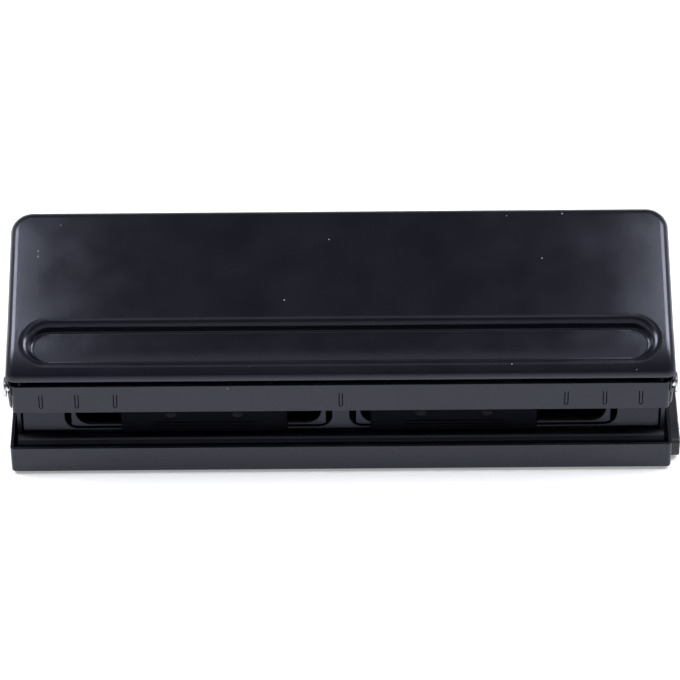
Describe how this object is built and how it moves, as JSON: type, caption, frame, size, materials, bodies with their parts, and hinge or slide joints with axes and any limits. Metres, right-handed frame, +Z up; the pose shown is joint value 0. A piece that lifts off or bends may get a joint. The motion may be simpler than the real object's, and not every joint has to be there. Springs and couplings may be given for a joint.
{
  "type": "six-hole punch",
  "caption": "Long black sheet-metal desk punch with a wide pressed lever, two sliding punch heads and a chip drawer.",
  "frame": {"origin": "middle of the overall footprint, on the plane the feet stand on", "axes": "+X to the right of the person who feeds the paper, +Y away from that person, +Z up"},
  "size_m": [0.2718, 0.084, 0.0728],
  "materials": {
    "black_paint": "semi-gloss black enamel with faint orange peel",
    "foot_rubber": "matt moulded rubber",
    "plated_steel": "bright nickel-plated steel",
    "ground_steel": "ground bar",
    "hard_steel": "hardened and ground steel",
    "spring_steel": "drawn wire",
    "cast_zinc": "as-cast light alloy",
    "grip_plastic": "fine-grained black plastic",
    "dark_rivet": "blackened steel rivet",
    "drawer_plastic": "smooth black plastic",
    "washer_nylon": "black nylon"
  },
  "bodies": {
    "frame": {"base_tray": "black_paint", "foot_front_left": "foot_rubber", "foot_front_right": "foot_rubber", "foot_rear_left": "foot_rubber", "foot_rear_right": "foot_rubber", "die_plate": "black_paint", "frame_rivets": "plated_steel", "scale_rail": "black_paint", "front_panel": "black_paint", "slide_frame_left": "black_paint", "slide_frame_right": "black_paint", "rear_panel": "black_paint", "guide_rod": "ground_steel", "pivot_rivet_left": "plated_steel", "pivot_rivet_right": "plated_steel", "pivot_washer_left": "washer_nylon", "pivot_washer_right": "washer_nylon"},
    "lever": {"lever": "black_paint"},
    "chip_drawer": {"chip_drawer": "drawer_plastic"},
    "punch_pin_left_a": {"punch_pin_left_a": "hard_steel"},
    "punch_pin_left_b": {"punch_pin_left_b": "hard_steel"},
    "punch_pin_left_c": {"punch_pin_left_c": "hard_steel"},
    "punch_head_left": {"punch_carrier_left": "cast_zinc", "die_insert_left": "hard_steel", "finger_grip_left": "grip_plastic", "grip_rivets_left": "dark_rivet", "pin_spring_left_a": "spring_steel", "pin_spring_left_b": "spring_steel", "pin_spring_left_c": "spring_steel"},
    "punch_pin_right_a": {"punch_pin_right_a": "hard_steel"},
    "punch_pin_right_b": {"punch_pin_right_b": "hard_steel"},
    "punch_pin_right_c": {"punch_pin_right_c": "hard_steel"},
    "punch_head_right": {"punch_carrier_right": "cast_zinc", "die_insert_right": "hard_steel", "finger_grip_right": "grip_plastic", "grip_rivets_right": "dark_rivet", "pin_spring_right_a": "spring_steel", "pin_spring_right_b": "spring_steel", "pin_spring_right_c": "spring_steel"}
  },
  "joints": [
    {"name": "lever_hinge", "type": "hinge", "parent": "frame", "child": "lever", "pos_m": [0, -0.0335, 0.04025], "axis": [1, 0, 0], "range_deg": [-18, 0], "stiffness_Nm_per_rad": 1.2, "springref_deg": 25.78},
    {"name": "drawer_slide", "type": "slide", "parent": "frame", "child": "chip_drawer", "axis": [1, 0, 0], "range_m": [0, 0.18]},
    {"name": "punch_head_left_slide", "type": "slide", "parent": "frame", "child": "punch_head_left", "axis": [1, 0, 0], "range_m": [-0.0192, 0.0143]},
    {"name": "punch_pin_left_a_stroke", "type": "slide", "parent": "punch_head_left", "child": "punch_pin_left_a", "axis": [0, 0, -1], "range_m": [0, 0.00334], "deforming": ["pin_spring_left_a"]},
    {"name": "punch_pin_left_b_stroke", "type": "slide", "parent": "punch_head_left", "child": "punch_pin_left_b", "axis": [0, 0, -1], "range_m": [0, 0.00334], "deforming": ["pin_spring_left_b"]},
    {"name": "punch_pin_left_c_stroke", "type": "slide", "parent": "punch_head_left", "child": "punch_pin_left_c", "axis": [0, 0, -1], "range_m": [0, 0.00334], "deforming": ["pin_spring_left_c"]},
    {"name": "punch_head_right_slide", "type": "slide", "parent": "frame", "child": "punch_head_right", "axis": [1, 0, 0], "range_m": [-0.0049, 0.0286]},
    {"name": "punch_pin_right_a_stroke", "type": "slide", "parent": "punch_head_right", "child": "punch_pin_right_a", "axis": [0, 0, -1], "range_m": [0, 0.00334], "deforming": ["pin_spring_right_a"]},
    {"name": "punch_pin_right_b_stroke", "type": "slide", "parent": "punch_head_right", "child": "punch_pin_right_b", "axis": [0, 0, -1], "range_m": [0, 0.00334], "deforming": ["pin_spring_right_b"]},
    {"name": "punch_pin_right_c_stroke", "type": "slide", "parent": "punch_head_right", "child": "punch_pin_right_c", "axis": [0, 0, -1], "range_m": [0, 0.00334], "deforming": ["pin_spring_right_c"]}
  ],
  "couplings": [
    {"joint": "punch_pin_left_a_stroke", "follows": "lever_hinge", "m_per_rad": -0.010589},
    {"joint": "punch_pin_left_b_stroke", "follows": "lever_hinge", "m_per_rad": -0.010589},
    {"joint": "punch_pin_left_c_stroke", "follows": "lever_hinge", "m_per_rad": -0.010589},
    {"joint": "punch_pin_right_a_stroke", "follows": "lever_hinge", "m_per_rad": -0.010589},
    {"joint": "punch_pin_right_b_stroke", "follows": "lever_hinge", "m_per_rad": -0.010589},
    {"joint": "punch_pin_right_c_stroke", "follows": "lever_hinge", "m_per_rad": -0.010589}
  ]
}
